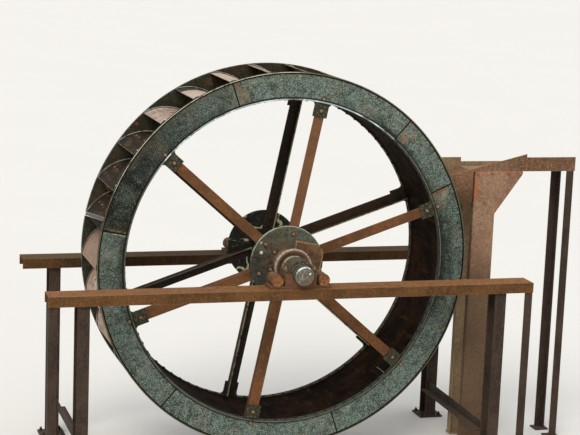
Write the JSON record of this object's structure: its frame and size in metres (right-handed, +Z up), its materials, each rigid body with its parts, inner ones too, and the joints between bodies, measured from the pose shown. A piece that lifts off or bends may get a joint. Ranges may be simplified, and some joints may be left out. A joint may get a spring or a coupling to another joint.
{
  "type": "water wheel",
  "caption": "Cast-iron and steel breastshot water wheel with curved buckets, turning in bearings on a steel beam frame, with the end of its launder.",
  "frame": {"origin": "on the ground, under the middle of the whole outline", "axes": "+X along the beams towards the launder, +Y from the near side to the far side along the shaft, +Z up"},
  "size_m": [4.577, 1.716, 3.175],
  "materials": {
    "rim_iron": "weathered black coating over cast iron, rust patches at the joints",
    "far_rim_iron": "weathered black coating over cast iron, in shade",
    "bucket_steel": "bare rolled plate with an even pinkish rust",
    "sole_steel": "dark rusted rolled plate",
    "arm_steel": "rusted rolled angle",
    "far_arm_steel": "dark rusted rolled angle",
    "hub_iron": "weathered black coating over cast iron with a worn rim",
    "collar_iron": "rusted cast iron with worn grey edges",
    "shaft_steel": "dull grey forged shaft with a worn bevelled end",
    "beam_steel": "rusted rolled channel, lighter on top",
    "leg_steel": "dark rusted rolled section",
    "bearing_iron": "rusted cast iron",
    "launder_steel": "evenly rusted plate with orange edges"
  },
  "bodies": {
    "frame": {"near_beam": "beam_steel", "far_beam": "beam_steel", "near_left_leg": "leg_steel", "near_right_leg": "leg_steel", "far_left_leg": "leg_steel", "far_right_leg": "leg_steel", "near_end_posts": "leg_steel", "left_tie": "leg_steel", "right_tie": "leg_steel", "near_bearing": "bearing_iron", "far_bearing": "bearing_iron", "near_bearing_cap": "bearing_iron", "far_bearing_cap": "bearing_iron", "launder_floor": "launder_steel", "launder_apron": "launder_steel", "near_side": "launder_steel", "far_side": "launder_steel", "near_trough_side": "launder_steel", "near_bracket": "launder_steel", "far_bracket": "launder_steel", "launder_posts": "leg_steel"},
    "wheel": {"near_shroud_1": "rim_iron", "near_shroud_2": "rim_iron", "near_shroud_3": "rim_iron", "near_shroud_4": "rim_iron", "near_shroud_5": "rim_iron", "near_shroud_6": "rim_iron", "far_shroud_1": "far_rim_iron", "far_shroud_2": "far_rim_iron", "far_shroud_3": "far_rim_iron", "far_shroud_4": "far_rim_iron", "far_shroud_5": "far_rim_iron", "far_shroud_6": "far_rim_iron", "buckets_1": "bucket_steel", "buckets_2": "bucket_steel", "buckets_3": "bucket_steel", "buckets_4": "bucket_steel", "buckets_5": "bucket_steel", "buckets_6": "bucket_steel", "sole_plates": "sole_steel", "near_arms": "arm_steel", "far_arms": "far_arm_steel", "near_hub": "hub_iron", "far_hub": "hub_iron", "shaft": "shaft_steel", "near_clamp": "collar_iron", "near_collar": "collar_iron", "far_collar": "collar_iron"}
  },
  "joints": [
    {"name": "wheel_turn", "type": "hinge", "parent": "frame", "child": "wheel", "pos_m": [-0.301, 0, 1.65], "axis": [0, 1, 0], "continuous": true}
  ]
}
